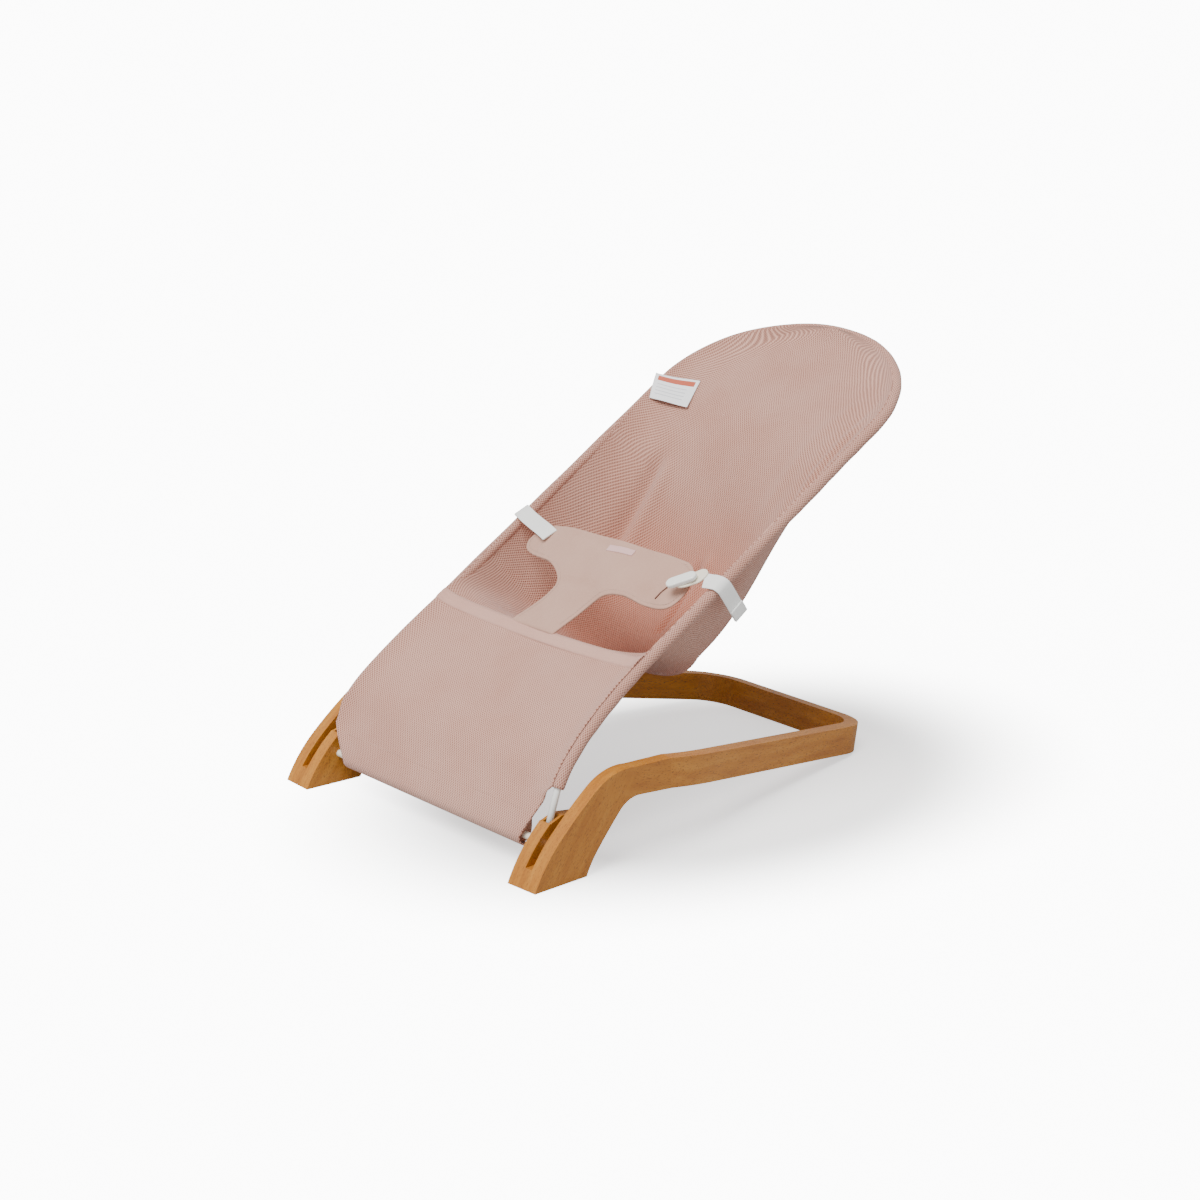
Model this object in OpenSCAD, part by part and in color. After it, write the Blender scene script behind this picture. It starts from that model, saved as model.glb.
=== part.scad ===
// Baby bouncer seat: a wood base of two front legs and one bent rear loop, and a
// spring-steel seat loop that carries a mesh cover and a harness.
// Millimetres. +Z up, -Y is the front (the toes), origin on the floor at the
// middle of the overall length and width.

/* [Overall] */
// length over everything, toes to the head of the seat loop
overall_d = 630; // [560:1:700]
// width over the two toes
overall_w = 430; // [380:1:460]

/* [Wood base] */
// thickness of the outer board of each leg and of the rear loop
board_t = 16; // [12:0.5:20]
// width of the slot between the outer board and the inner cheek
slot_w = 9.5; // [8.5:0.5:12]
// thickness of the inner cheek of each leg, which holds the foot of the seat loop
cheek_t = 15.5; // [14:0.5:20]
// angle by which each leg turns inward towards the back
leg_splay = 2.6; // [0:0.1:4]
// length of the foot on the floor
foot_l = 69; // [50:1:90]
// distance from the toes to the joint of leg and rear loop
joint_y = 186; // [160:1:220]
// height of the rear loop, square to its own slope
loop_h = 32; // [24:1:40]
// slope of the rear loop down to the floor
loop_slope = 10.1; // [6:0.1:12]
// length of the rear loop along its slope
loop_l = 385; // [330:1:430]
// angle by which the sides of the rear loop close in
loop_taper = 12.8; // [4:0.1:16]
// outer radius of the two back corners
loop_corner_r = 56; // [25:1:70]
// diameter of the glued dowels
dowel_d = 8; // [6:1:10]

/* [Seat loop] */
// diameter of the spring-steel seat loop
wire_d = 7; // [6:0.5:9]
// diameter of the steel cross rod in the bottom hem
rod_d = 8; // [6:0.5:10]
// distance of the cross rod from the toes
pivot_y = 43; // [41:1:46]
// height of the cross rod above the sole
pivot_z = 33; // [30:1:35]
// how far the seat loop sinks under a load, in degrees
swing_down = 6; // [2:0.5:7]
// how far it springs up, in degrees
swing_up = 4; // [1:0.5:5]
// slope of the seat
seat_slope = 31.4; // [20:0.1:45]
// distance from the toes to the cross seam of the cover
seam_y = 189; // [150:1:230]
// height of the cross seam
seam_z = 188; // [150:1:230]
// half width of the seat loop at the seam
seam_hw = 166.5; // [140:0.5:180]
// extra half width for each millimetre up the seat
seat_flare = 0.003; // [0:0.001:0.05]
// length of the straight sides above the seam
side_l = 382; // [300:1:430]
// length of the half ellipse that closes the loop at the head
head_l = 126.5; // [90:0.5:180]

/* [Cover] */
// outer diameter of the sleeve along the edge of the cover
sleeve_d = 14; // [11:0.5:18]
// thickness of the mesh
mesh_t = 2.4; // [1.5:0.1:4]
// depth of the seat pocket below the loop
pocket_d = 124; // [60:1:150]
// half length of the bottom hem on the cross rod
hem_hw = 150; // [120:1:160]

/* [Harness] */
// width of the crotch strap at the seam
crotch_w = 68; // [50:1:90]
// length of the crotch strap up to the waist piece
crotch_l = 70; // [50:1:90]
// height of the waist piece
waist_h = 56; // [35:1:65]
// half length of the waist piece
waist_hw = 129; // [110:1:140]
// thickness of the harness cloth
harness_t = 3; // [2:0.5:5]
// width of the white webbing
webbing_w = 19; // [15:1:25]
// thickness of the white webbing
webbing_t = 1.6; // [1:0.1:2]
// length of the toggle bar
toggle_l = 32; // [24:1:40]

/* [Display] */

/* [Hidden] */
$fn = 64;

wood = [0.80, 0.56, 0.30];
dark_wood = [0.70, 0.45, 0.22];
steel = [0.93, 0.93, 0.91];
pink = [0.81, 0.71, 0.67];
pink_dark = [0.76, 0.64, 0.60];
white = [0.95, 0.95, 0.94];
rubber = [0.25, 0.25, 0.26];

front_y = -overall_d / 2;
half_w = overall_w / 2;
leg_w = board_t + slot_w + cheek_t;
wire_r = wire_d / 2;
sleeve_r = sleeve_d / 2;
fit = 0.05;
gap = 0.3;
pad_proud = 0.6;
loop_side_r = 400;

// lengths are measured from the toes and heights from the sole of the wood
module from_toes() {
    translate([0, front_y, pad_proud]) children();
}

// ---------- curves ----------

// arc that starts at p and turns from heading a0 to heading a1
function turn(p, a0, a1, r, n = 12) = let (s = a1 > a0 ? 1 : -1) [
    for (i = [0:n]) let (a = a0 + (a1 - a0) * i / n)
        [p[0] + s * r * (sin(a) - sin(a0)), p[1] + s * r * (cos(a0) - cos(a))]
];

function last(list) = list[len(list) - 1];

function unit(v) = v / norm(v);

function smooth(x) = let (t = min(1, max(0, x))) t * t * (3 - 2 * t);

function bezier(a, b, c, d, t) =
    pow(1 - t, 3) * a + 3 * t * pow(1 - t, 2) * b + 3 * t * t * (1 - t) * c + pow(t, 3) * d;

// outline of a ribbon of thickness t along an open 2D line
function ribbon(p, t) = let (
    n = len(p),
    side = [for (i = [0:n - 1])
        let (d = unit(p[min(i + 1, n - 1)] - p[max(i - 1, 0)])) [-d[1], d[0]]]
) concat(
    [for (i = [0:n - 1]) p[i] + side[i] * t / 2],
    [for (i = [n - 1:-1:0]) p[i] - side[i] * t / 2]
);

// closed skin over rings of equal, even size; each end is closed by a strip of quads
module skin(rings) {
    m = len(rings[0]);
    n = len(rings);
    points = [for (ring = rings) for (p = ring) p];
    walls = [for (i = [0:n - 2]) for (j = [0:m - 1]) let (k = (j + 1) % m)
        [i * m + j, (i + 1) * m + j, (i + 1) * m + k, i * m + k]];
    start = [for (j = [0:m / 2 - 2]) [j, j + 1, m - 2 - j, m - 1 - j]];
    end = [for (q = start) [for (k = [3:-1:0]) (n - 1) * m + q[k]]];
    polyhedron(points, concat(walls, start, end), convexity = 10);
}

// ring of n points of radius r about p, square to t
function ring(p, t, ref, r, n) = let (a = unit(cross(t, ref)), b = cross(t, a)) [
    for (i = [0:n - 1]) p + r * (a * cos(360 * i / n) + b * sin(360 * i / n))
];

function tangents(p) = [
    for (i = [0:len(p) - 1]) unit(p[min(i + 1, len(p) - 1)] - p[max(i - 1, 0)])
];

// round bar along a line of points
module sweep(path, ref, r, n) {
    t = tangents(path);
    skin([for (i = [0:len(path) - 1]) ring(path[i], t[i], ref, r, n)]);
}

// hollow sleeve along a line of points, open at both ends
module hollow_sweep(path, ref, r_out, r_in, n) {
    t = tangents(path);
    last_i = len(path) - 1;
    outside = [for (i = [0:last_i]) ring(path[i], t[i], ref, r_out, n)];
    inside = [for (i = [last_i:-1:0]) ring(path[i], t[i], ref, r_in, n)];
    rings = concat(outside, inside);
    m = len(rings);
    points = [for (r = rings) for (p = r) p];
    walls = [for (i = [0:m - 1]) for (j = [0:n - 1]) let (k = (j + 1) % n, next = (i + 1) % m)
        [i * n + j, next * n + j, next * n + k, i * n + k]];
    polyhedron(points, walls, convexity = 10);
}

// closed sheet between an upper and a lower grid of points
module slab(upper, lower) {
    rows = len(upper);
    cols = len(upper[0]);
    loops = [for (i = [0:rows - 1])
        concat([for (j = [0:cols - 1]) upper[i][j]], [for (j = [cols - 1:-1:0]) lower[i][j]])];
    skin(loops);
}

// ---------- wood base ----------

// side outline of a leg: curved front face, knee, the end at the joint, inner curve
knee_r = 68;
arch_r = 34;
joint_z = loop_l * sin(loop_slope) + (loop_h * cos(loop_slope)) - board_t * sin(loop_slope);
joint_h = loop_h / cos(loop_slope);
shin_low = turn([0, 0], 64, 43, 165);
shin_high = turn(last(shin_low), 43, 36, 500);
knee_top = turn(last(shin_high), 36, -loop_slope, knee_r);
calf_low = turn([foot_l, 0], 66, 50, 100);
calf_mid = turn(last(calf_low), 50, 46, 660, 4);
calf_high = turn(last(calf_mid), 46, -6, arch_r);
leg_outline = concat(
    shin_low, shin_high, knee_top,
    [[joint_y, joint_z], [joint_y, joint_z - joint_h]],
    [for (i = [len(calf_high) - 1:-1:0]) calf_high[i]],
    [for (i = [len(calf_mid) - 2:-1:0]) calf_mid[i]],
    [for (i = [len(calf_low) - 2:-1:0]) calf_low[i]]
);

// the inner cheek has a sloping top, and the slot ends a little above the toe
cheek_front = [45, 55];
cheek_peak = [60, 60];
slot_end = [10, 18];

// frame of a leg: local X runs outward with its outer face at 0
module leg_frame(side) {
    from_toes() mirror([side < 0 ? 1 : 0, 0, 0])
        translate([half_w, leg_w * sin(leg_splay), 0]) rotate([0, 0, leg_splay]) children();
}

// board of a leg between two depths from the outer face
module leg_board(depth, thick) {
    translate([-depth - thick, 0, 0]) rotate([90, 0, 90]) linear_extrude(thick) children();
}

// bore for the cross rod, between two distances from the middle
module rod_bore(side, from_x, to_x) {
    from_toes() translate([side * from_x, pivot_y, pivot_z])
        rotate([0, side * 90, 0]) cylinder(d = rod_d + 2 * fit, h = to_x - from_x);
}

rod_half_l = half_w - board_t + 6;
pad_d = 20;
pad_t = 2;
pad_y = 36;
pad_x = half_w - 20;
rear_pad_x = 62;
rear_pad_d = 11;
rear_pad_y = front_y + joint_y + loop_l * cos(loop_slope) - board_t / 2;

module pad_seats() {
    for (side = [-1, 1]) from_toes() translate([side * pad_x, pad_y, -1])
        cylinder(d = pad_d + 2 * fit, h = 1 + pad_t);
}

dowel_l = 36;
dowel_gap = 15;

// two dowels across the joint of leg and rear loop, along the slope
module joint_dowels(side, d, l) {
    leg_frame(side) translate([-board_t / 2, joint_y, joint_z - joint_h / 2])
        for (k = [-1, 1]) translate([0, 0, k * dowel_gap / 2])
            rotate([-90 - loop_slope, 0, 0]) cylinder(d = d, h = l, center = true);
}

module leg(side) {
    color(wood) difference() {
        leg_frame(side) leg_board(0, board_t) polygon(leg_outline);
        rod_bore(side, rod_half_l - 20, rod_half_l + 0.3);
        joint_dowels(side, dowel_d, dowel_l + 1);
        pad_seats();
    }
}

// the cheek is the foot part of the same outline
module leg_cheek(side) {
    color(wood) difference() {
        leg_frame(side) leg_board(board_t + slot_w, cheek_t) intersection() {
            polygon(leg_outline);
            polygon([[-1, -1], [130, -1], [130, 49], cheek_peak, cheek_front, [-1, cheek_front[1]]]);
        }
        rod_bore(side, half_w - leg_w - 10, half_w - board_t);
        wire_mortise(side);
        pad_seats();
    }
}

// mortise for the foot of the wire: round at the rod, and a wedge above it for the swing
module wire_mortise(side) {
    w = wire_d + 1;
    reach = 60;
    from_toes() translate([side * wire_x - mortise_w / 2, pivot_y, pivot_z])
        rotate([90, 0, 90]) linear_extrude(mortise_w) {
            circle(d = eye_d + 1.2);
            for (a = [-swing_down, swing_up]) rotate(wire_lean + a) translate([0, -w / 2]) square([reach, w]);
            polygon([[0, 0], for (a = [-swing_down, swing_up])
                reach * [cos(wire_lean + a), sin(wire_lean + a)]]);
        }
}

// the spacer closes the slot at the toe and behind the rod
module leg_spacer(side) {
    color(dark_wood) difference() {
        leg_frame(side) leg_board(board_t, slot_w) intersection() {
            polygon(leg_outline);
            polygon([
                [-1, -1], [130, -1], [130, 49], [72, 54], [64, 40], [58, slot_end[1]], slot_end,
                [slot_end[0] - 12, slot_end[1]]
            ]);
        }
        pad_seats();
    }
}

// plan of the rear loop in its sloping plane, from the joint back to the middle
board_x = half_w - board_t / 2 * cos(leg_splay) - joint_y * sin(leg_splay);
loop_c_r = loop_corner_r - board_t / 2;
loop_bend = turn([board_x, 0], 90 + leg_splay, 90 + loop_taper, loop_side_r, 8);
corner_dy = loop_c_r * (cos(90 + loop_taper) + 1);
side_dy = loop_l - board_t / 2 - corner_dy - last(loop_bend)[1];
corner_p = last(loop_bend) + [-side_dy * tan(loop_taper), side_dy];
loop_corner = turn(corner_p, 90 + loop_taper, 180, loop_c_r, 16);
lead_in = [[board_x + 30 * tan(leg_splay), -30]];
loop_right = concat(lead_in, loop_bend, loop_corner);
loop_line = concat(loop_right, [for (i = [len(loop_right) - 1:-1:0]) [-loop_right[i][0], loop_right[i][1]]]);

module rear_loop() {
    color(wood) difference() {
        from_toes() translate([0, joint_y + leg_w * sin(leg_splay), joint_z])
            rotate([-loop_slope, 0, 0]) translate([0, 0, -loop_h]) linear_extrude(loop_h)
            polygon(ribbon(loop_line, board_t));
        // the ends are cut upright where they meet the legs
        for (side = [-1, 1]) leg_frame(side)
            translate([-60, joint_y - 80, joint_z - 90]) cube([120, 80, 160]);
        // and the back rail is cut flat where it stands on the floor
        translate([-300, -overall_d, pad_proud - 40]) cube([600, 2 * overall_d, 40]);
        for (side = [-1, 1]) joint_dowels(side, dowel_d, dowel_l + 1);
        for (side = [-1, 1]) translate([side * rear_pad_x, rear_pad_y, -1])
            cylinder(d = rear_pad_d + 2 * fit, h = 1 + pad_t);
    }
}

module foot_pad(side) {
    color(rubber) translate([side * pad_x, front_y + pad_y, 0])
        cylinder(d = pad_d, h = pad_proud + pad_t - fit);
}

module rear_pads() {
    color(rubber) for (side = [-1, 1]) translate([side * rear_pad_x, rear_pad_y, 0])
        cylinder(d = rear_pad_d, h = pad_t - fit);
}

// ---------- seat loop ----------

// the foot of the loop stands in the mortise of the cheek
wire_x = half_w - board_t - slot_w - 8.2 - pivot_y * sin(leg_splay);
wire_lean = 71.5;
wire_up = 50;
mortise_w = 8.4;
seat_normal = [0, -sin(seat_slope), cos(seat_slope)];
seat_along = [0, cos(seat_slope), sin(seat_slope)];

foot_p = [wire_x, pivot_y, pivot_z];
shin_p = foot_p + wire_up * [0, cos(wire_lean), sin(wire_lean)];
seam_p = [seam_hw, seam_y, seam_z];
bend_low = shin_p + [-2, 30 * cos(wire_lean), 30 * sin(wire_lean)];
bend_high = seam_p - 75 * seat_along;

function half_width(s) = seam_hw + seat_flare * s;
function on_seat(x, s, h = 0) = [x, seam_y, seam_z] + s * seat_along + h * seat_normal;
function bend_point(t) = bezier(shin_p, bend_low, bend_high, seam_p, t);

bend_n = 14;
side_n = 6;
head_n = 14;
wire_bend = [for (i = [0:bend_n]) bend_point(i / bend_n)];
wire_side = [for (i = [1:side_n]) let (s = side_l * i / side_n) on_seat(half_width(s), s)];
head_hw = half_width(side_l);
wire_head = [for (i = [1:head_n]) let (a = 90 * i / head_n)
    on_seat(head_hw * cos(a), side_l + head_l * sin(a))];
function mirrored(path) = [for (i = [len(path) - 1:-1:0]) [-path[i][0], path[i][1], path[i][2]]];
function both(path) = concat(path, mirrored([for (i = [0:len(path) - 2]) path[i]]));

eye_w = 6.4;
eye_d = 15;
washer_r = 6.8;

module seat_wire() {
    foot_end = foot_p + washer_r * [0, cos(wire_lean), sin(wire_lean)];
    path = both(concat([foot_end], wire_bend, wire_side, wire_head));
    color(steel) from_toes() difference() {
        union() {
            sweep(path, seat_normal, wire_r, 12);
            for (side = [-1, 1]) translate([side * wire_x, pivot_y, pivot_z])
                rotate([0, 90, 0]) cylinder(d = eye_d, h = eye_w, center = true);
        }
        translate([0, pivot_y, pivot_z]) rotate([0, 90, 0])
            cylinder(d = rod_d, h = overall_w, center = true);
    }
}

module cross_rod() {
    color(steel) from_toes() translate([0, pivot_y, pivot_z]) rotate([0, 90, 0])
        cylinder(d = rod_d, h = 2 * rod_half_l, center = true);
}

washer_t = 0.7;

module pivot_washers(side) {
    color(white) from_toes() for (k = [-1, 1])
        translate([side * wire_x + k * (eye_w + washer_t + 0.1) / 2, pivot_y, pivot_z])
            rotate([0, 90, 0]) difference() {
                cylinder(r = washer_r - 0.5, h = washer_t, center = true);
                cylinder(d = rod_d + 2 * fit, h = 2, center = true);
            }
}

// ---------- cover ----------

// the sleeve starts a little above the leg and leaves the foot of the wire bare
sleeve_start = 1;
panel_gap = sleeve_r + gap;

module edge_sleeve() {
    path = both(concat([for (i = [sleeve_start:bend_n]) wire_bend[i]], wire_side, wire_head));
    color(pink) from_toes() hollow_sweep(path, seat_normal, sleeve_r, wire_r + gap, 12);
}

hem_r = 8;

module hem_sleeve() {
    color(pink) from_toes() translate([0, pivot_y, pivot_z]) rotate([0, 90, 0]) difference() {
        cylinder(r = hem_r, h = 2 * hem_hw, center = true);
        cylinder(d = rod_d + 2 * gap, h = 2 * hem_hw + 2, center = true);
    }
}

// pull the middle of a taut panel a little below its edges
seam_sag = 10;
panel_cols = 12;
panel_foot = [hem_hw, pivot_y + 1, pivot_z + hem_r + 1.6];
panel_flare = [half_w - leg_w - pivot_y * sin(leg_splay) - 3.5, pivot_y + 8, pivot_z + 27];
panel_edge = concat(
    [panel_foot, panel_flare],
    [for (i = [sleeve_start:bend_n]) wire_bend[i] - [panel_gap, 0, 0]]
);
panel_n = len(panel_edge) - 1;

function panel_normal(i) = let (
    d = panel_edge[min(i + 1, panel_n)] - panel_edge[max(i - 1, 0)],
    l = sqrt(d[1] * d[1] + d[2] * d[2])
) [0, -d[2] / l, d[1] / l];

function panel_point(i, j, h) = let (
    u = 2 * j / panel_cols - 1,
    sag = seam_sag * smooth(i / panel_n) * (1 - u * u),
    e = panel_edge[i]
) [u * e[0], e[1], e[2]] + (h - sag) * panel_normal(i);

module lower_panel() {
    grid = function (h) [for (i = [0:panel_n]) [for (j = [0:panel_cols])
        panel_point(i, j, h) - (i == panel_n ? 0.8 : 0) * seat_along]];
    color(pink) from_toes() slab(grid(mesh_t / 2), grid(-mesh_t / 2));
}

// depth of the pocket at a distance s above the seam
pocket_front = 78;
pocket_rear = 385;
pocket_side = 3.4;
function depth(s) = seam_sag
    + (pocket_d - seam_sag) * smooth((s + 8) / (pocket_front + 8)) * (1 - smooth((s - 110) / (pocket_rear - 110)))
    - 2 * smooth((s - 150) / 200);

seat_cols = 20;
seat_side_rows = 16;
seat_head_rows = 7;
seat_rows = concat(
    [for (i = [0:seat_side_rows]) let (s = 0.8 + (side_l - 0.8) * i / seat_side_rows)
        [s, half_width(s) - panel_gap]],
    [for (i = [1:seat_head_rows]) let (a = 84 * i / seat_head_rows)
        [side_l + (head_l - panel_gap) * sin(a), (head_hw - panel_gap) * cos(a)]]
);

function seat_point(row, j, h) = let (
    u = 2 * j / seat_cols - 1,
    x = u * row[1],
    sink = depth(row[0]) * (1 - pow(abs(u), pocket_side)) * min(1, row[1] / 120)
) on_seat(x, row[0], h - sink);

module seat_panel() {
    upper = [for (r = seat_rows) [for (j = [0:seat_cols]) seat_point(r, j, mesh_t / 2)]];
    lower = [for (r = seat_rows) [for (j = [0:seat_cols]) seat_point(r, j, -mesh_t / 2)]];
    color(pink) from_toes() slab(upper, lower);
}

// flat tape that covers the cross seam
tape_w = 15;
tape_t = 1.1;
tape_lift = mesh_t / 2 + 0.1;

module seam_tape() {
    hw = seam_hw - sleeve_r - 3;
    grid = function (h) [for (v = [-tape_w + 2, -tape_w / 2, 0, 2]) [for (j = [0:panel_cols])
        let (u = 2 * j / panel_cols - 1, sag = seam_sag * (1 - u * u) * smooth(1 + v / 150))
            on_seat(u * hw, v, h + tape_lift - sag + (v < 0 ? -v * 0.02 : 0.4))]];
    color(pink) from_toes() slab(grid(tape_t + 0.2), grid(0.2));
}

// ---------- harness ----------

// the harness rises from the seam to the waist, and its waist piece sits off centre
harness_tilt = 10.4;
harness_lift = -6.6;
waist_shift = 10;
crotch_shift = -8;
flare_r = 26;

module harness_frame() {
    from_toes() translate([0, seam_y, seam_z]) rotate([seat_slope, 0, 0])
        translate([0, 0, harness_lift]) rotate([harness_tilt, 0, 0]) children();
}

module harness_outline() {
    end_r = waist_h / 2 - 2;
    translate([crotch_shift - crotch_w / 2, 0]) square([crotch_w, crotch_l + 10]);
    translate([waist_shift - waist_hw + end_r, crotch_l + 2]) square([2 * (waist_hw - end_r), waist_h - 4]);
    for (side = [-1, 1]) translate([waist_shift + side * (waist_hw - end_r), crotch_l + waist_h / 2])
        circle(end_r);
    for (side = [-1, 1]) difference() {
        translate([crotch_shift + side * (crotch_w + flare_r) / 2, crotch_l + 2 - flare_r / 2])
            square([flare_r + 2, flare_r + 2], center = true);
        translate([crotch_shift + side * (crotch_w / 2 + flare_r), crotch_l + 1 - flare_r]) circle(flare_r);
    }
}

module harness() {
    color(pink_dark) harness_frame() linear_extrude(harness_t) harness_outline();
}

// height of the harness top above the seat plane at a distance v up the harness
function harness_top(v) = harness_lift + v * sin(harness_tilt) + harness_t * cos(harness_tilt);

strap_s = 120;
wrap_r = sleeve_r + gap + webbing_t / 2;
strap_x = half_width(strap_s);

module seat_frame_at(x, s) {
    from_toes() translate([0, seam_y, seam_z]) rotate([seat_slope, 0, 0]) translate([x, s, 0]) children();
}

// webbing that runs in along its lead, over the sleeve and down its outer side
module strap(side, lead, tail_l) {
    down = [for (a = [92:-10:-8]) wrap_r * [cos(a), sin(a)]];
    line = concat([for (p = lead) p - [strap_x, 0]], down, [[wrap_r, -tail_l]]);
    fold = [[wrap_r + webbing_t + 0.1, -tail_l + 12], [wrap_r + webbing_t + 0.1, -tail_l]];
    color(white) mirror([side < 0 ? 1 : 0, 0, 0]) seat_frame_at(strap_x, strap_s + webbing_w / 2)
        rotate([90, 0, 0]) linear_extrude(webbing_w) {
            polygon(ribbon(line, webbing_t));
            polygon(ribbon(fold, webbing_t + 0.4));
        }
}

// moulded end of the right strap, with the stud that the toggle bar turns on
toggle_x = 139;
toggle_s = 97;
stud_d = 5;
end_t = 2;
end_h = harness_top(crotch_l + waist_h * 0.6) + 0.6;
end_reach = 17;

// the left strap is sewn on top of the waist piece, the right one ends at its moulding
left_h = harness_top(crotch_l + waist_h) + webbing_t / 2 + 0.2;
left_lead = [[92, left_h], [waist_hw - waist_shift + 2, left_h]];
right_lead = [[toggle_x + end_reach + 0.3, end_h + end_t / 2]];
bar_t = 4;
bar_w = 11;
bar_turn = 45;

module strap_end_right() {
    color(white) seat_frame_at(toggle_x, toggle_s) translate([0, 0, end_h]) linear_extrude(end_t) {
        circle(d = 13);
        polygon([[0, -6.5], [7, -3], [end_reach, 13], [end_reach, 32], [8, 27], [-6, 4]]);
    }
}

module toggle_stud() {
    color(white) seat_frame_at(toggle_x, toggle_s) translate([0, 0, end_h + end_t])
        cylinder(d = stud_d, h = bar_t + 0.4);
}

module toggle_bar() {
    color(white) seat_frame_at(toggle_x, toggle_s) translate([0, 0, end_h + end_t + 0.2])
        rotate([0, 0, bar_turn]) linear_extrude(bar_t) difference() {
            union() {
                square([toggle_l - bar_w, bar_w], center = true);
                for (k = [-1, 1]) translate([k * (toggle_l - bar_w) / 2, 0]) circle(d = bar_w);
            }
            circle(d = stud_d + 2 * fit);
        }
}

// ---------- labels ----------

// blank label sewn on the cover beside the left sleeve
module care_label() {
    color(white) seat_frame_at(-131, 371) rotate([0, 0, 12]) rotate([0, 7, 0])
        translate([-27, -20, 3.6]) cube([54, 40, 0.8]);
}

// blank woven label on the harness
module harness_label() {
    color([0.88, 0.76, 0.74]) harness_frame() translate([10, crotch_l + waist_h - 18, harness_t + 0.1])
        cube([34, 9, 0.6]);
}

rear_loop();
leg(-1);  // leg_left
leg(1);  // leg_right
leg_spacer(-1);  // leg_spacer_left
leg_spacer(1);  // leg_spacer_right
leg_cheek(-1);  // leg_cheek_left
leg_cheek(1);  // leg_cheek_right
color(dark_wood) joint_dowels(-1, dowel_d, dowel_l);  // joint_dowels_left
color(dark_wood) joint_dowels(1, dowel_d, dowel_l);  // joint_dowels_right
foot_pad(-1);  // foot_pad_left
foot_pad(1);  // foot_pad_right
rear_pads();
cross_rod();
seat_wire();
pivot_washers(-1);  // pivot_washers_left
pivot_washers(1);  // pivot_washers_right
edge_sleeve();
hem_sleeve();
lower_panel();
seat_panel();
seam_tape();
harness();
strap(-1, left_lead, 30);  // strap_left
strap(1, right_lead, 38);  // strap_right
strap_end_right();
toggle_stud();
toggle_bar();
care_label();
harness_label();
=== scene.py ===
import math

import bmesh
import bpy
import numpy as np
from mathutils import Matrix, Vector


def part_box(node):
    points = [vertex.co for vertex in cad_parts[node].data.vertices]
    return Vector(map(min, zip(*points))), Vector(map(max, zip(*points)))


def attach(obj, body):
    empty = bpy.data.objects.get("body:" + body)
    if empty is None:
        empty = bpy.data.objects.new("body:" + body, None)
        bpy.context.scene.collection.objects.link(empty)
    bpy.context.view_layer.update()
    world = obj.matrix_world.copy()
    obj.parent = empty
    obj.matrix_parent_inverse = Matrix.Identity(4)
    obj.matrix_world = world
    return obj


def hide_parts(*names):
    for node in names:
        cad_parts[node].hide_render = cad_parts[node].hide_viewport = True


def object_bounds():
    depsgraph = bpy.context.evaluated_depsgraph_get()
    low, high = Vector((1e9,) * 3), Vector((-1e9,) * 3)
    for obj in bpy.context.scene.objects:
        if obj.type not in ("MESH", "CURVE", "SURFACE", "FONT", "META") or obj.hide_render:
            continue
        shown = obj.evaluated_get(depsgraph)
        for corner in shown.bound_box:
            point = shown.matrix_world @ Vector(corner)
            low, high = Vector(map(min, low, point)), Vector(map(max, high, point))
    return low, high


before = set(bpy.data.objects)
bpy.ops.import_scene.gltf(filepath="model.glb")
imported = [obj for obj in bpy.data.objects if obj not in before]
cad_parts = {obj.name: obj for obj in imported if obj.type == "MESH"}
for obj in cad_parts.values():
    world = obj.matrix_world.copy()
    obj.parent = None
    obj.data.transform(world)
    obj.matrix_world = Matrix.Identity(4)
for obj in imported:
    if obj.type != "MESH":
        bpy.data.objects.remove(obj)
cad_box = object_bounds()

# ---------- studio ----------
# A white paper floor under a big soft source at the upper left, with the pale
# room all round. The camera stands in front and to the right, a little above.

floor_size = 60.0
floor_mesh = bpy.data.meshes.new("studio_floor")
floor_mesh.from_pydata(
    [(-floor_size, -floor_size, 0), (floor_size, -floor_size, 0),
     (floor_size, floor_size, 0), (-floor_size, floor_size, 0)], [], [(0, 1, 2, 3)])
floor = bpy.data.objects.new("studio_floor", floor_mesh)
bpy.context.collection.objects.link(floor)


class Wire:
    """One socket in a material, so that arithmetic on it adds Math nodes."""

    def __init__(self, graph, socket):
        self.graph = graph
        self.socket = socket

    def math(self, operation, *values):
        inputs = dict(enumerate(values))
        return self.graph.node("Math", {"operation": operation}, inputs)

    def __add__(self, other):
        return self.math("ADD", self, other)

    def __radd__(self, other):
        return self.math("ADD", other, self)

    def __sub__(self, other):
        return self.math("SUBTRACT", self, other)

    def __rsub__(self, other):
        return self.math("SUBTRACT", other, self)

    def __mul__(self, other):
        return self.math("MULTIPLY", self, other)

    def __rmul__(self, other):
        return self.math("MULTIPLY", other, self)

    def __truediv__(self, other):
        return self.math("DIVIDE", self, other)

    def __abs__(self):
        return self.math("ABSOLUTE", self)

    def fract(self):
        return self.math("FRACT", self)

    def root(self):
        return self.math("SQRT", self)

    def low(self, other):
        return self.math("MINIMUM", self, other)

    def high(self, other):
        return self.math("MAXIMUM", self, other)

    def ease(self, start, end):
        """0 before start, 1 after end, smooth between them."""
        flip = start > end
        found = self.graph.node("MapRange", {"interpolation_type": "SMOOTHSTEP"}, {
            0: self, 1: min(start, end), 2: max(start, end)})
        return 1 - found if flip else found


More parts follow.
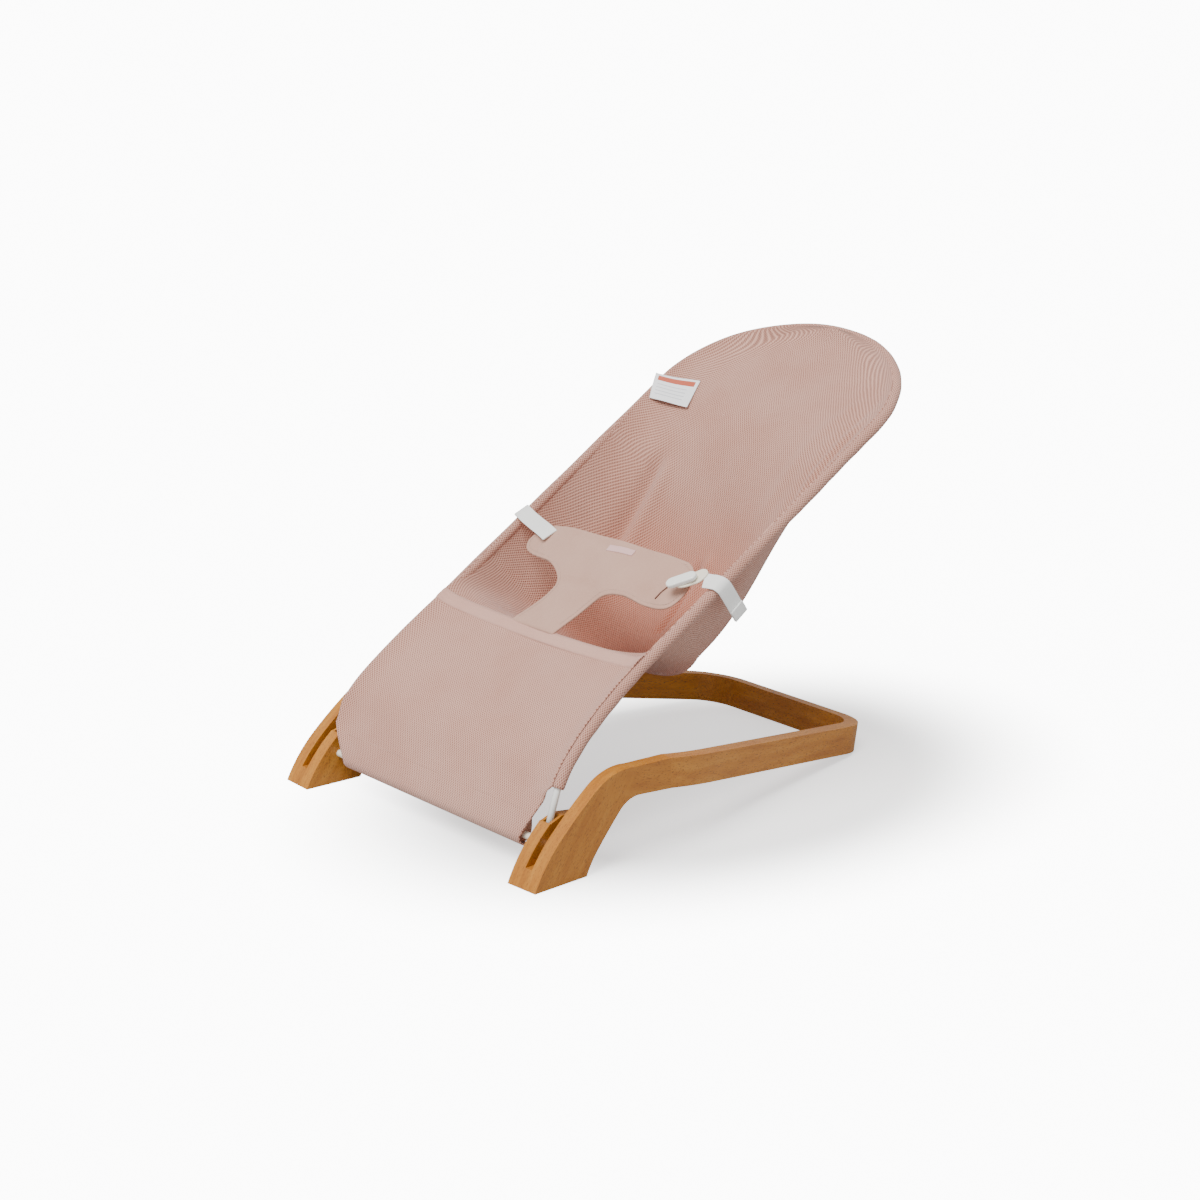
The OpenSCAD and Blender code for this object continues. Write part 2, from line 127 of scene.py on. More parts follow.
class Finish:
    """A material that is built node by node and ends in one shader."""

    def __init__(self, name):
        self.material = bpy.data.materials.new(name)
        self.material.use_nodes = True
        self.tree = self.material.node_tree
        self.tree.nodes.clear()

    def node(self, kind, settings=None, inputs=None, out=0):
        """Any node, from its type, its settings and the values or links of its sockets."""
        made = self.tree.nodes.new("ShaderNode" + kind)
        for key, value in (settings or {}).items():
            if key == "stops":
                ramp = made.color_ramp
                while len(ramp.elements) < len(value):
                    ramp.elements.new(1)
                for stop, (place, colour) in zip(ramp.elements, value):
                    stop.position = place
                    stop.color = (*colour, 1)
            else:
                setattr(made, key, value)
        for key, value in (inputs or {}).items():
            if isinstance(value, Wire):
                self.tree.links.new(value.socket, made.inputs[key])
            else:
                made.inputs[key].default_value = value
        return Wire(self, made.outputs[out])

    def place(self):
        """The point on the piece, as three numbers in metres."""
        point = self.node("TexCoord", out=3)
        return [self.node("SeparateXYZ", None, {0: point}, k) for k in range(3)]

    def cloth_place(self):
        """The two measures along a sheet of cloth, in metres."""
        point = self.node("TexCoord", out=2)
        return [self.node("SeparateXYZ", None, {0: point}, k) for k in range(2)]

    def vector(self, x, y, z=0.0):
        return self.node("CombineXYZ", None, {0: x, 1: y, 2: z})

    def noise(self, vector, scale, detail=2.0, roughness=0.5):
        return self.node("TexNoise", None, {
            "Vector": vector, "Scale": scale, "Detail": detail, "Roughness": roughness})

    def colour(self, mask, a, b):
        """Colour a where mask is 0 and colour b where it is 1."""
        ends = [v if isinstance(v, Wire) else (*v, 1) for v in (a, b)]
        return self.node("Mix", {"data_type": "RGBA"}, {0: mask, 6: ends[0], 7: ends[1]}, 2)

    def bump(self, height, depth, strength=1.0):
        return self.node("Bump", None, {"Strength": strength, "Distance": depth, "Height": height})

    def done(self, base, roughness, normal=None, **fixed):
        """Closes the material: fixed values go on the shader's own sockets."""
        inputs = {"Base Color": base if isinstance(base, Wire) else (*base, 1),
                  "Roughness": roughness}
        if normal is not None:
            inputs["Normal"] = normal
        inputs.update({key.replace("_", " "): value for key, value in fixed.items()})
        shader = self.node("BsdfPrincipled", None, inputs)
        end = self.tree.nodes.new("ShaderNodeOutputMaterial")
        self.tree.links.new(shader.socket, end.inputs[0])
        return self.material


def screen(red, green, blue):
    """A colour given in 0 to 255 as it looks, turned into light."""
    return tuple(((v / 255 + 0.055) / 1.055) ** 2.4 for v in (red, green, blue))


# the paper looks brighter to the camera than the light it sends back, except in a painted shadow
# under the seat where that glow is weaker
paper = Finish("studio_paper")
seen = paper.node("LightPath")
fx, fy, fz = paper.place()
under_x, under_y = (fx - 0.07) / 0.33, (fy - 0.03) / 0.44
# painted shadow: an oval under the seat where the floor's glow fades out
shade = (under_x * under_x + under_y * under_y).root().ease(0.6, 1.22)
glow_with_painted_shadow = paper.colour(seen * (0.1 + 0.9 * shade), (0, 0, 0), (10.0, 10.0, 10.0))
paper_tone = paper.colour(seen, (0.5, 0.5, 0.5), (0.87, 0.87, 0.87))
paper_white = paper.done(paper_tone, 0.9, Specular_IOR_Level=0.0, Emission_Color=glow_with_painted_shadow,
                         Emission_Strength=1.0)
floor_mesh.materials.append(paper_white)

world = bpy.data.worlds.new("studio_room")
world.use_nodes = True
world.node_tree.nodes["Background"].inputs[0].default_value = (1.0, 0.995, 0.985, 1)
world.node_tree.nodes["Background"].inputs[1].default_value = 0.72
bpy.context.scene.world = world


def sun(name, strength, softness, azimuth, elevation, colour):
    """A far soft lamp that shines from a compass direction and height, in degrees."""
    lamp = bpy.data.lights.new(name, "SUN")
    lamp.energy = strength
    lamp.angle = math.radians(softness)
    lamp.color = colour
    lamp_obj = bpy.data.objects.new(name, lamp)
    bpy.context.collection.objects.link(lamp_obj)
    a, e = math.radians(azimuth), math.radians(elevation)
    source = Vector((math.sin(a) * math.cos(e), -math.cos(a) * math.cos(e), math.sin(e)))
    lamp_obj.rotation_euler = source.to_track_quat("Z", "Y").to_euler()


sun("key_light", 4.3, 40, 10, 60, (1.0, 0.985, 0.965))

camera_azimuth, camera_elevation, camera_distance = 49.4, 16.2, 2.847
camera_target = Vector((-0.0178, -0.0301, 0.1957))
camera_data = bpy.data.cameras.new("camera")
camera_data.sensor_width = 36
camera_data.lens = 78.45
camera = bpy.data.objects.new("camera", camera_data)
bpy.context.collection.objects.link(camera)
a, e = math.radians(camera_azimuth), math.radians(camera_elevation)
back = Vector((math.sin(a) * math.cos(e), -math.cos(a) * math.cos(e), math.sin(e)))
camera.location = camera_target + back * camera_distance
camera.rotation_euler = back.to_track_quat("Z", "Y").to_euler()
bpy.context.scene.camera = camera

# ---------- wood base ----------
# Two front legs and a rear loop in oiled beech. The legs are sawn from thick board, the
# loop is bent from thin layers, and their butt joints are doweled and glued. The right
# leg and the insides of the slots are painted a little darker, as painted shade.

beech_light = screen(194, 132, 50)
beech_mid = screen(181, 117, 38)
beech_dark = screen(160, 96, 29)
beech_fleck_and_shade = screen(116, 66, 24)


def beech(name, bent, painted_shade_tint=1.0):
    """Beech: broad tone bands and fine pores stretched along the grain, with short dark
    flecks. On the bent loop the grain turns with the corners; on a leg it follows the
    shin below the knee and the loop's slope behind it. A tint under 1 darkens the board toward the
    dark fleck colour, as painted shade."""
    f = Finish(name)
    x, y, z = f.place()
    if bent:
        corner_x, corner_y, turn = 0.075, 0.245, math.tan(math.radians(12.8))
        side = abs(x) + (y - corner_y).low(0.0) * turn
        dx = (side - corner_x).high(0.0)
        dy = (y - corner_y).high(0.0)
        across = (dx * dx + dy * dy).root()
        angle = f.node("Math", {"operation": "ARCTAN2"}, {0: dy, 1: dx + 1e-5})
        run = y.low(corner_y) + 0.056 * angle + corner_x - side.low(corner_x)
        rise = z + y * math.tan(math.radians(10.1))
        bands = [(run, across, rise)]
    else:
        bands = []
        for slope in (52.0, -10.1):
            c, s = math.cos(math.radians(slope)), math.sin(math.radians(slope))
            bands.append((y * c + z * s, x, z * c - y * s))
    waves = []
    for run, across, rise in bands:
        bend = f.noise(f.vector(run * 9, across * 30, rise * 30), 1.0, 2)
        broad = f.noise(f.vector(run * 14, across * 150, rise * 105 + bend * 1.6), 1.0, 4, 0.6)
        pores = f.noise(f.vector(run * 90, across * 900, rise * 900), 1.0, 3, 0.7)
        fleck = f.noise(f.vector(run * 260, across * 1300, rise * 1150), 1.0, 1, 0.4)
        waves.append([broad, pores, fleck])
    if bent:
        broad, pores, fleck = waves[0]
    else:
        knee = y.ease(-0.205, -0.165)
        broad, pores, fleck = [a + (b - a) * knee for a, b in zip(*waves)]
    tones = [(0.24, beech_dark), (0.5, beech_mid), (0.76, beech_light)]
    base = f.node("ValToRGB", {"stops": tones}, {0: broad})
    base = f.colour(pores.ease(0.54, 0.72) * 0.6, base, beech_dark)
    base = f.colour(fleck.ease(0.6, 0.68) * 0.6, base, beech_fleck_and_shade)
    # painted shade: the whole board is darkened toward the dark fleck colour
    if painted_shade_tint < 1:
        base = f.colour(1 - painted_shade_tint, base, beech_fleck_and_shade)
    rough = 0.42 + pores * 0.16
    normal = f.bump(pores * 0.6 + fleck * 0.4, 0.00018, 0.5)
    return f.done(base, rough, normal, Specular_IOR_Level=0.35, Coat_Weight=0.08,
                  Coat_Roughness=0.3)


def coat(material, *nodes):
    """Gives CAD pieces their finish."""
    for name in nodes:
        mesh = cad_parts[name].data
        mesh.materials.clear()
        mesh.materials.append(material)


coat(beech("beech_left_board", bent=False), "leg_left", "leg_cheek_left")
# the right leg gets painted shade: a darker copy of the same beech
coat(beech("beech_right_board_painted_shade", bent=False, painted_shade_tint=0.86), "leg_right", "leg_cheek_right")
coat(beech("beech_bent", bent=True), "rear_loop")
# the spacers and dowels inside the slots get painted shade: a darker copy of the same beech
coat(beech("beech_inside_slot_painted_shade", bent=False, painted_shade_tint=0.8), "leg_spacer_left", "leg_spacer_right",
     "joint_dowels_left", "joint_dowels_right")

# ---------- pads ----------
# Thin soft rubber discs let into the soles, so that the wood doesn't slide.

pad = Finish("pad_rubber")
px, py, pz = pad.place()
speckle = pad.noise(pad.vector(px * 900, py * 900, pz * 900), 1.0, 2)
coat(pad.done(pad.colour(speckle, screen(66, 66, 68), screen(88, 88, 90)), 0.8,
              pad.bump(speckle, 0.0001, 0.4)), "foot_pad_left", "foot_pad_right", "rear_pads")

# ---------- steel loop ----------
# One bent spring-steel bar with a smooth white powder coat, from the eye in one leg
# round the head to the eye in the other. It turns on a steel rod in the hem.

toes_y = 1000 * cad_box[0].y
sole_z = 1000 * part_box("leg_right")[0].z
slope = math.radians(31.4)
up_seat = np.array([0, math.cos(slope), math.sin(slope)])
off_seat = np.array([0, -math.sin(slope), math.cos(slope)])
seam_hw, seam_y, seam_z, flare = 166.5, 189.0, 188.0, 0.003
side_l, head_l = 382.0, 126.5
head_hw = seam_hw + flare * side_l
wire_r, sleeve_r, rod_y, rod_z = 3.5, 7.0, 43.0, 33.0
foot_x, foot_lean, foot_up = 179.35, math.radians(71.5), 50.0


def on_seat(x, s, h):
    """The point x across, s up the seat from the cross seam and h above its plane, in mm."""
    x, s, h = np.broadcast_arrays(x, s, h)
    flat = np.stack([x, np.zeros_like(x, float), np.zeros_like(x, float)], -1)
    return flat + [0, seam_y, seam_z] + s[..., None] * up_seat + h[..., None] * off_seat


def bezier(a, b, c, d, t):
    """The cubic curve from a to d pulled by b and c, at each t from 0 to 1."""
    t = np.asarray(t)[:, None]
    return a * (1 - t) ** 3 + 3 * b * t * (1 - t) ** 2 + 3 * c * t * t * (1 - t) + d * t ** 3


lean = np.array([0, math.cos(foot_lean), math.sin(foot_lean)])
foot = np.array([foot_x, rod_y, rod_z])
shin = foot + foot_up * lean
seam_end = np.array([seam_hw, seam_y, seam_z])
bend = bezier(shin, shin + [-2, 0, 0] + 30 * lean, seam_end - 75 * up_seat, seam_end,
              np.linspace(0, 1, 49))
rising = np.linspace(0, side_l, 65)[1:]
turning = np.linspace(0, math.pi / 2, 57)[1:]
half_loop = np.concatenate([
    bend, on_seat(seam_hw + flare * rising, rising, 0.0),
    on_seat(head_hw * np.cos(turning), side_l + head_l * np.sin(turning), 0.0)])


def both_sides(half):
    """A right half line, carried on over the middle to the left."""
    return np.concatenate([half, (half[:-1] * [-1, 1, 1])[::-1]])


def directions(line):
    d = np.gradient(line, axis=0)
    return d / np.linalg.norm(d, axis=1, keepdims=True)


def lengths(line):
    """How far along the line each point is."""
    return np.concatenate([[0], np.cumsum(np.linalg.norm(np.diff(line, axis=0), axis=1))])


def tube(line, radius, sides, ref=off_seat):
    """Rings of the given radius square to the line; radius may vary by ring and side."""
    t = directions(line)
    a = np.cross(t, ref)
    a /= np.linalg.norm(a, axis=1, keepdims=True)
    b = np.cross(t, a)
    turn = 2 * math.pi * np.arange(sides) / sides
    radius = np.broadcast_to(radius, (len(line), sides))[..., None]
    ring = np.cos(turn)[None, :, None] * a[:, None] + np.sin(turn)[None, :, None] * b[:, None]
    return line[:, None] + radius * ring


def closed_ends(rings):
    """The rings with each end drawn together to its middle point."""
    first, last = [np.broadcast_to(r.mean(0), r.shape)[None] for r in (rings[0], rings[-1])]
    return np.concatenate([first, rings, last])


def surface(name, grid, uv=None, around=False, outward=True):
    """A mesh from a grid of points in mm from the toes: rows by columns, joined up in a
    ring if around. uv gives each grid corner its measure along the cloth, in metres."""
    rows, cols = grid.shape[:2]
    span = cols if around else cols - 1
    r, c = np.meshgrid(np.arange(rows - 1), np.arange(span), indexing="ij")
    rr = np.stack([r, r, r + 1, r + 1], -1).reshape(-1, 4)
    cc = np.stack([c, c + 1, c + 1, c], -1).reshape(-1, 4)
    mesh = bpy.data.meshes.new(name)
    points = (grid.reshape(-1, 3) + [0, toes_y, sole_z]) * 0.001
    mesh.from_pydata(points.tolist(), [], (rr * cols + cc % cols).tolist())
    if uv is not None:
        layer = mesh.uv_layers.new(name="cloth")
        layer.data.foreach_set("uv", uv[rr, cc].reshape(-1).astype(np.float32))
    if outward:
        work = bmesh.new()
        work.from_mesh(mesh)
        bmesh.ops.remove_doubles(work, verts=work.verts, dist=1e-7)
        bmesh.ops.recalc_face_normals(work, faces=work.faces)
        work.to_mesh(mesh)
        work.free()
    mesh.polygons.foreach_set("use_smooth", np.ones(len(mesh.polygons), bool))
    mesh.update()
    return mesh


def piece(name, mesh, material, body, slot, *nodes):
    """A finished piece: its material, its body and the CAD nodes it stands for; the slot is not
    used.
    """
    made = bpy.data.objects.new(name, mesh)
    bpy.context.collection.objects.link(made)
    mesh.materials.append(material)
    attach(made, body)
    if nodes:
        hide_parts(*nodes)
    return made


def tube_uv(line, sides, radius):
    """Along the line and round the tube, in metres."""
    v = lengths(line) * 0.001
    u = np.arange(sides + 1) / sides * 2 * math.pi * radius * 0.001
    return np.stack(np.broadcast_arrays(u[None, :], v[:, None]), -1)


enamel = Finish("white_powder_coat")
ex, ey, ez = enamel.place()
orange_peel = enamel.noise(enamel.vector(ex * 420, ey * 420, ez * 420), 1.0, 2)
cloud = enamel.noise(enamel.vector(ex * 30, ey * 30, ez * 30), 1.0, 2)
white_enamel = enamel.done(enamel.colour(cloud, screen(232, 234, 230), screen(243, 244, 241)),
                           0.26 + orange_peel * 0.12, enamel.bump(orange_peel, 0.00008, 0.35),
                           Coat_Weight=0.3, Coat_Roughness=0.12)
loop_line = both_sides(np.concatenate([foot[None] + 5 * lean, half_loop]))
loop_rings = closed_ends(tube(loop_line, wire_r, 20))
piece("seat_loop_bar", surface("seat_loop_bar", loop_rings, around=True),
      white_enamel, "seat", "coated_steel", "seat_wire")

# eyes at the two feet of the bar, forged flat and bored for the rod
eye_half, eye_outer, eye_inner = 3.2, 7.5, 4.0
eye_round = 0.8
right_profile = np.array([[eye_half - eye_round, eye_outer], [eye_half, eye_outer - eye_round],
                          [eye_half, eye_inner]])
profile = np.concatenate([right_profile[::-1] * [-1, 1], right_profile])
turn = 2 * math.pi * np.arange(49) / 48
for side, word in ((-1, "left"), (1, "right")):
    eye = np.stack(np.broadcast_arrays(
        side * foot_x + profile[None, :, 0], rod_y + profile[None, :, 1] * np.cos(turn)[:, None],
        rod_z + profile[None, :, 1] * np.sin(turn)[:, None]), -1)
    piece(f"seat_loop_eye_{word}", surface(f"seat_loop_eye_{word}", eye, around=True),
          white_enamel, "seat", "coated_steel")

rod = Finish("rod_cream_coat")
rx, ry, rz = rod.place()
scuff = rod.noise(rod.vector(rx * 60, ry * 500, rz * 500), 1.0, 3)
coat(rod.done(rod.colour(scuff, screen(236, 228, 208), screen(245, 240, 226)), 0.3 + scuff * 0.15,
              rod.bump(scuff, 0.00006, 0.3)), "cross_rod")

# washers between the eyes and the mortises, stamped from nylon sheet
nylon = Finish("washer_nylon")
nx, ny, nz = nylon.place()
haze = nylon.noise(nylon.vector(nx * 300, ny * 300, nz * 300), 1.0, 2)
coat(nylon.done(nylon.colour(haze, screen(226, 226, 218), screen(240, 240, 234)), 0.45 + haze * 0.1,
                nylon.bump(haze, 0.00005, 0.3)), "pivot_washers_left", "pivot_washers_right")

# ---------- knitted cover: edge sleeve ----------
# The cover is cut from an openwork spacer knit in dusty pink. Its edge is folded round
# the steel bar and closed by one row of stitches, which leaves the feet bare.

pink_yarn = screen(213, 168, 150)
pink_deep = screen(196, 144, 125)
pink_hole_painted_shade = screen(122, 56, 40)
pink_painted_pocket_shade = screen(186, 100, 70)


def openwork(name, pitch=0.0031, hole=0.30, yarn=pink_yarn, deep=pink_deep, depth=0.0007,
             painted_pocket_shade=False):
    """Openwork knit: oval holes on a staggered lattice, rounded yarn walls between them,
    and slow changes of tone. The holes are painted dark, as painted shade seen through the knit.
    When painted_pocket_shade is set, it turns warmer and darker where it is deep in the seat:
    painted shade of the pocket."""
    f = Finish(name)
    u, v = f.cloth_place()
    rows = 1.45
    drift = f.noise(f.vector(u * 45, v * 45), 1.0, 2)
    a, b = u / pitch + drift * 0.5, v / pitch / rows + drift * 0.35
    found = None
    for shift in (0.0, 0.5):
        da = (a + shift).fract() - 0.5
        db = ((b + shift).fract() - 0.5) * rows
        reach = (da * da * 1.5 + db * db * 0.75).root()
        found = reach if found is None else found.low(reach)
    pit = found.ease(hole + 0.14, hole - 0.13)
    strands = f.noise(f.vector(u * 2600, v * 900), 1.0, 2, 0.6)
    slow = f.noise(f.vector(u * 9, v * 9), 1.0, 3, 0.6)
    base = f.colour(slow.ease(0.35, 0.7) * 0.45 + strands * 0.25, yarn, deep)
    # the holes are painted dark: painted shade seen through the open knit
    base = f.colour(pit * 0.72, base, pink_hole_painted_shade)
    if painted_pocket_shade:
        x, y, z = f.place()
        above = ((z - 0.001 * (seam_z + sole_z)) * math.cos(slope)
                 - (y - 0.001 * (seam_y + toes_y)) * math.sin(slope))
        # deep in the seat the knit is painted warmer and darker: painted shade of the pocket
        base = f.colour(above.ease(-0.04, -0.115) * 0.45, base, pink_painted_pocket_shade)
    height = (1 - pit) + strands * 0.22
    return f.done(base, 0.86, f.bump(height, depth, 0.8), Sheen_Weight=0.25,
                  Sheen_Roughness=0.5, Specular_IOR_Level=0.15)


knit = openwork("pink_openwork_knit")
bare_steps = 3
sleeve_line = both_sides(half_loop[bare_steps:])
along_sleeve = lengths(sleeve_line)
sleeve_sides = 24
turn = 2 * math.pi * np.arange(sleeve_sides) / sleeve_sides
pucker = (0.16 * np.sin(along_sleeve / 5.3)[:, None] * np.cos(turn - 0.6)[None]
          + 0.22 * np.sin(along_sleeve / 17.0 + 1.3)[:, None] * np.sin(2 * turn)[None])
rings = tube(sleeve_line, sleeve_r - 0.8 + pucker, sleeve_sides)
inner = tube(sleeve_line, wire_r + 0.15, sleeve_sides)
lip = tube(sleeve_line, sleeve_r - 1.3, sleeve_sides)
rings = np.concatenate([inner[:1], lip[:1], rings[1:-1], lip[-1:], inner[-1:]])
sleeve_run = np.concatenate([sleeve_line[:1], sleeve_line[:1], sleeve_line[1:-1], sleeve_line[-1:],
                             sleeve_line[-1:]])
sleeve_uv = tube_uv(sleeve_run, sleeve_sides, sleeve_r)
edge_sleeve = piece("cover_edge_sleeve",
                    surface("cover_edge_sleeve", rings, sleeve_uv, around=True),
                    knit, "seat", "mesh", "edge_sleeve")

# ---------- knitted cover: seat and back ----------
# The same knit forms the seat and back in one piece. Darts at the sides and one short
# dart up the middle of the back give the cloth its pocket, and the head is drawn flat.


def smooth(x):
    t = np.clip(x, 0, 1)
    return t * t * (3 - 2 * t)


def ridge(x, s, ax, a_s, bx, bs, width, height):
    """A soft fold from (ax, a_s) to (bx, bs), as wide as given, fading out at both ends."""
    dx, ds = bx - ax, bs - a_s
    size = math.hypot(dx, ds)
    t = ((x - ax) * dx + (s - a_s) * ds) / size ** 2
    d = ((x - ax) * ds - (s - a_s) * dx) / size
    fade = np.clip(t / 0.18, 0, 1) * np.clip((1 - t) / 0.18, 0, 1)
    return height * np.exp(-(d / width) ** 2) * fade * fade * (3 - 2 * fade)


def pocket_depth(s):
    """How deep the middle of the cover hangs at s: a steep front, a long slope behind."""
    fall = smooth((s + 8) / 86) * (1 - smooth((s - 110) / 275))
    return 10 + 114 * fall - 2 * smooth((s - 150) / 200)


tuck = 1.6


def roll_over(d):
    """How far the cloth rises at d mm from its edge, where it comes off the top of the sleeve."""
    return 6.3 * np.clip(1 - d / 24, 0, 1) ** 2


def seat_cloth(u, s, half):
    """The seat and back: a pocket that is deepest in the middle, folds along the left of
    the back, a dart in its middle, and drawn wrinkles up the right edge."""
    x = u * half
    past = (s - side_l) / (head_l - tuck)
    out = np.minimum(np.where(s > side_l, np.hypot(x / (head_hw - tuck), past), np.abs(u)), 1)
    head_reach = head_l + (head_hw - head_l) * np.abs(u)
    from_edge = (1 - out) * np.where(s > side_l, head_reach, half)
    h = roll_over(from_edge) - pocket_depth(s) * (1 - out ** (2 + 1.4 * smooth(s / 40)))
    folds = ridge(x, s, -124, 104, -106, 310, 8, -8.0)
    folds += ridge(x, s, -102, 116, -90, 300, 9, 5.0)
    folds += ridge(x, s, -6, 112, 6, 212, 4.2, -6.5)
    folds += ridge(x, s, 6, 116, 18, 222, 7, 3.2)
    folds += ridge(x, s, 92, 190, 142, 420, 6, -3.0)
    folds += ridge(x, s, 108, 205, 150, 400, 5.5, 2.8)
    folds += ridge(x, s, 122, 230, 156, 385, 4.5, -2.4)
    folds += ridge(x, s, 66, 240, 118, 425, 9, 2.2)
    folds += ridge(x, s, 60, 30, 128, 86, 9, -2.4)
    folds += ridge(x, s, -122, 22, -66, 72, 8, -2.2)
    folds += ridge(x, s, -136, 40, -100, 96, 6, 1.6)
    ripple = (0.5 * np.sin(x / 21 + s / 47) * np.sin(s / 33 - x / 60)
              + 0.28 * np.sin(x / 9.5 - s / 26) * smooth((s - 40) / 100))
    h = h + (folds + ripple) * smooth(from_edge / 22) * smooth(s / 18)
    return on_seat(x, s, h)


# rows run up the straight sides from just under the tape, then round the head
under_tape, side_rows, head_rows, seat_cols = 9.0, 150, 60, 141
side_s = np.linspace(-under_tape, side_l, side_rows)
arch = np.linspace(0, math.radians(89.2), head_rows + 1)[1:]
sheet_rows = np.concatenate([side_s, side_l + (head_l - tuck) * np.sin(arch)])
half_rows = np.concatenate([seam_hw + flare * side_s - tuck, (head_hw - tuck) * np.cos(arch)])
even = np.linspace(-1, 1, seat_cols)
across = np.sin(even * math.pi / 2) * 0.35 + even * 0.65
seat_grid = seat_cloth(*np.broadcast_arrays(across[None, :], sheet_rows[:, None],
                                            half_rows[:, None]))


def cloth_uv(grid):
    """Measures along a sheet from its first row and its middle column, in metres."""
    down = np.linalg.norm(np.diff(grid, axis=0), axis=-1)
    v = np.concatenate([np.zeros((1, grid.shape[1])), np.cumsum(down, 0)])
    v = v.mean(1, keepdims=True) * 0.5 + v * 0.5
    wide = np.linalg.norm(np.diff(grid, axis=1), axis=-1)
    u = np.concatenate([np.zeros((grid.shape[0], 1)), np.cumsum(wide, 1)], 1)
    u = u - u[:, u.shape[1] // 2][:, None]
    return np.stack([u, v], -1) * 0.001


def thicken(made, thickness):
    """Gives a sheet its thickness, half to each side."""
    wall = made.modifiers.new("thickness", "SOLIDIFY")
    wall.thickness = thickness
    wall.offset = 0


seat_uv = cloth_uv(seat_grid)
head_rise = (sheet_rows[side_rows:, None] - side_l) * 0.001
seat_uv[side_rows:, :, 1] = seat_uv[side_rows - 1, :, 1] + head_rise
seat_cover = piece("cover_seat_and_back",
                   surface("cover_seat_and_back", seat_grid, seat_uv, outward=False),
                   openwork("pink_openwork_painted_pocket_shade", painted_pocket_shade=True), "seat", "mesh", "seat_panel")
thicken(seat_cover, 0.0016)

# ---------- knitted cover: lower panel and hem ----------
# A taut panel runs down from the cross seam to the rod between the legs and round it.
# A double sleeve of the same knit holds the rod; both edges slant in below the sleeves.

front = np.array([0, -lean[2], lean[1]])
rod = np.array([0, rod_y, rod_z])
wrap_r = 9.0
edge_top = bend[bare_steps:]
under_turn = np.radians(np.linspace(125, 0, 17))[:-1]
round_rod = np.cos(under_turn)[:, None] * front - np.sin(under_turn)[:, None] * lean
rise_start = rod + wrap_r * front
rise_end = edge_top[0] * [0, 1, 1]
end_pull = 14 * directions(edge_top)[0] * [0, 1, 1]
panel_mid = np.concatenate([
    rod + wrap_r * round_rod,
    bezier(rise_start, rise_start + 14 * lean, rise_end - end_pull, rise_end,
           np.linspace(0, 1, 19))[:-1],
    edge_top * [0, 1, 1]])
panel_rise = lengths(panel_mid)
plain_half = np.interp(panel_mid[:, 2], edge_top[:, 2], edge_top[:, 0] - tuck)
slant = np.clip((edge_top[0, 2] - panel_mid[:, 2]) / (edge_top[0, 2] - rod_z), 0, 1)
foot_half, left_bend = edge_top[0, 0], 0.42
right_half = np.where(slant > 0, foot_half - tuck - 5 * smooth(slant / 0.12) - 20 * slant,
                      plain_half)
left_half = np.where(
    slant < left_bend, foot_half + 1.5 - 3 * smooth(slant / left_bend),
    foot_half - 1.5 - 27 * (np.maximum(slant - left_bend, 0) / (1 - left_bend)) ** 0.85)
over_bar = 3.1 * smooth(1 - (panel_mid[:, 2] - edge_top[0, 2]) / 20)
left_half = np.where(slant > 0, left_half, plain_half + over_bar)
panel_rise /= panel_rise[-1]
panel_slope = directions(panel_mid)
panel_off = np.stack([np.zeros(len(panel_mid)), -panel_slope[:, 2], panel_slope[:, 1]], -1)


def lower_cloth(u, row):
    """The lower panel: round the front of the rod, then straight up from edge to edge,
    sagging a little at the seam. Its edges roll over the sleeves, the left one hangs over
    the bar, and faint strain lines rise from the hem."""
    t = panel_rise[row]
    half = np.where(u < 0, left_half[row], right_half[row])
    open_edge = smooth(slant[row] / 0.3)
    sag = 10 * smooth((t - 0.15) / 0.85) * (1 - u * u)
    rim = roll_over((1 - np.abs(u)) * half)
    droop = np.where(u < 0, 1 - 0.15 * open_edge, 1 - 1.1 * open_edge)
    curl = rim * droop * smooth((1 - slant[row]) / 0.5)
    fine = 0.5 * np.sin(u * 13 + t * 3) * smooth((0.5 - t) / 0.35) * smooth((t - 0.1) / 0.12)
    broad = 0.4 * np.sin(u * 5 - t * 9) * smooth((t - 0.1) / 0.2)
    strain = (fine + broad) * smooth((1 - np.abs(u)) * half / 25)
    h = 1.0 + curl - sag + strain
    base = np.stack([u * half, panel_mid[row, 1], panel_mid[row, 2]], -1)
    return base + h[..., None] * panel_off[row]


lower_grid = lower_cloth(*np.meshgrid(np.linspace(-1, 1, 121), np.arange(len(panel_mid))))
lower_uv = cloth_uv(lower_grid)
lower_cover = piece("cover_lower_panel",
                    surface("cover_lower_panel", lower_grid, lower_uv, outward=False),
                    openwork("pink_openwork_taut", hole=0.27), "seat", "mesh", "lower_panel")
thicken(lower_cover, 0.0016)

hem_hw, hem_r = 150.0, 7.6
steps = np.linspace(0, 1, 15)
front_side = np.stack([24 * (1 - steps), 1.0 + (hem_r - 1.0) * smooth(steps * 1.1)], -1)
round_turn = np.linspace(math.pi / 2, 3 * math.pi / 2, 21)[1:-1]
under = np.stack([hem_r * np.cos(round_turn), hem_r * np.sin(round_turn)], -1)
section = np.concatenate([front_side, under, front_side[::-1] * [1, -1]])
hem_x = np.linspace(-1, 1, 91)
bow = np.linspace(0, 2 * math.pi, len(section))
width = hem_hw + 1.5 * np.cos(bow)
swell = 1 + 0.035 * np.sin(hem_x * 31) * np.sin(hem_x * 7 + 1)
tight = np.where(np.abs(hem_x) > 0.985, 0.86, 1.0) * swell
hem_grid = ((hem_x[:, None] * width)[..., None] * [1, 0, 0] + [0, rod_y, rod_z]
            + section[None, :, 0, None] * lean
            + (section[None, :, 1] * tight[:, None])[..., None] * front)
hem_uv_v = lengths(np.concatenate([section, section[:1]])) * 0.001
